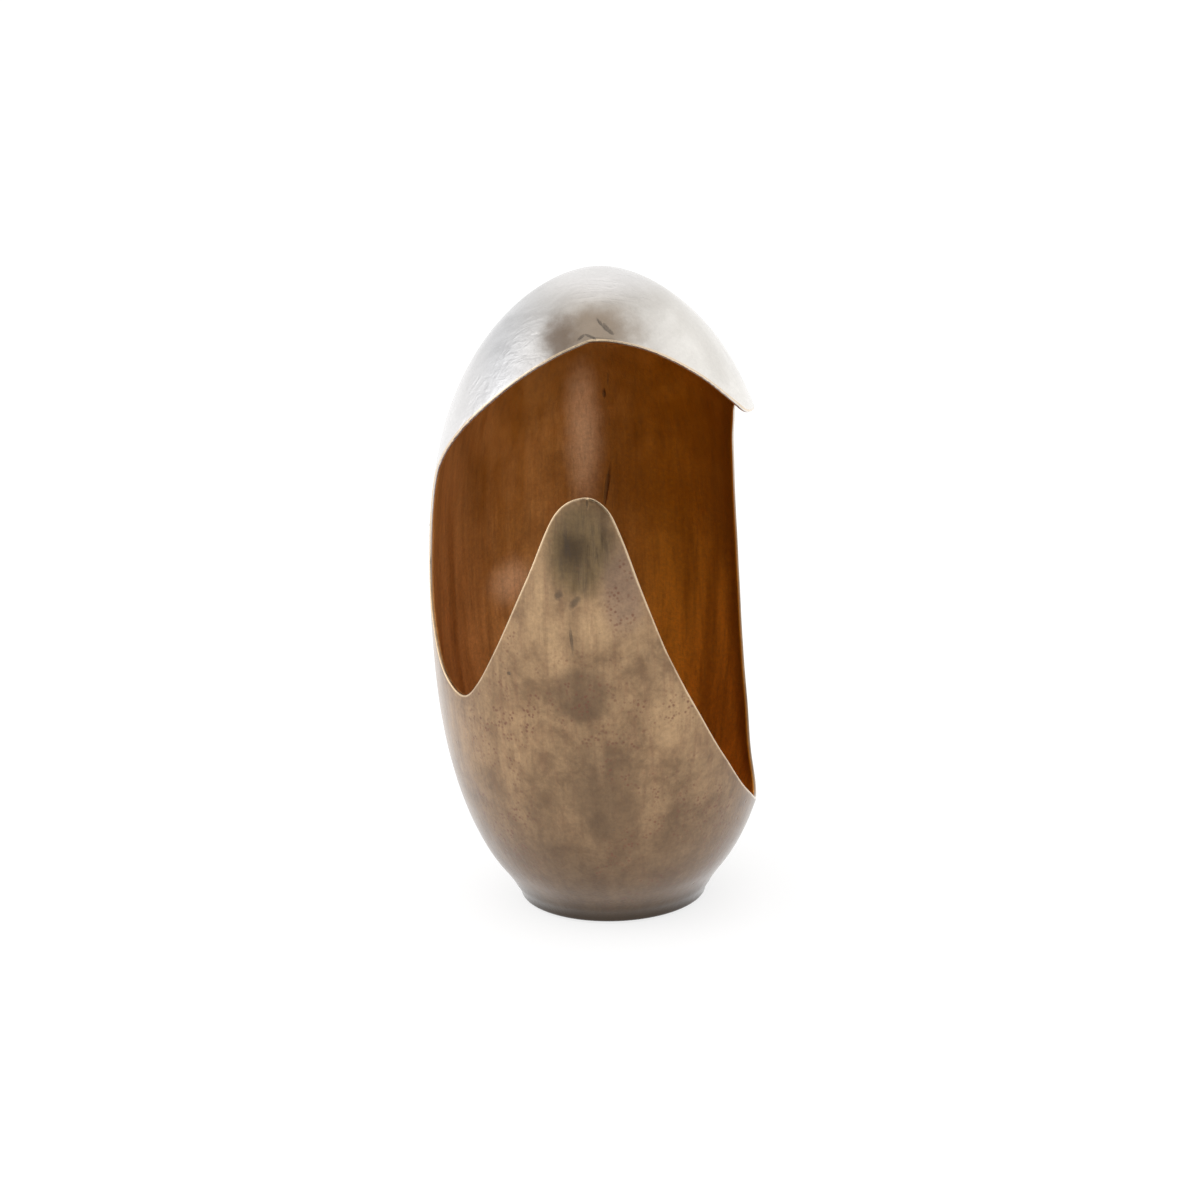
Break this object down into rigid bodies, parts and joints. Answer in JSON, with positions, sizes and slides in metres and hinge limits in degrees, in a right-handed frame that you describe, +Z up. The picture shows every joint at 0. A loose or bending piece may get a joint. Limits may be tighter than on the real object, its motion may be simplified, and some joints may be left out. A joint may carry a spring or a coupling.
{
  "type": "open-sided egg lantern shell",
  "caption": "Free-standing hollow brass egg on a small round foot, with a hood over a free-form side opening and a tall pointed tongue at the front.",
  "frame": {"origin": "centre of the felt's underside, on the axis of the egg, where it stands on a table", "axes": "+Z up along the axis of the egg, -Y towards the front with the tall tongue, +X towards the large side opening"},
  "size_m": [0.2322, 0.25, 0.46],
  "materials": {
    "patinated_brass": "cast brass, satin, with an antique brown patina outside and warmer lacquered brass inside",
    "dressed_braze": "brazing metal filed and dressed flush with the castings",
    "floor_brass": "lacquered sheet brass, satin",
    "black_felt": "thin pressed black felt"
  },
  "bodies": {
    "root": {"left_half_shell": "patinated_brass", "right_half_shell": "patinated_brass", "hood_and_back_seam": "dressed_braze", "bowl_seam": "dressed_braze", "floor_plate": "floor_brass", "foot_felt": "black_felt"}
  },
  "joints": []
}
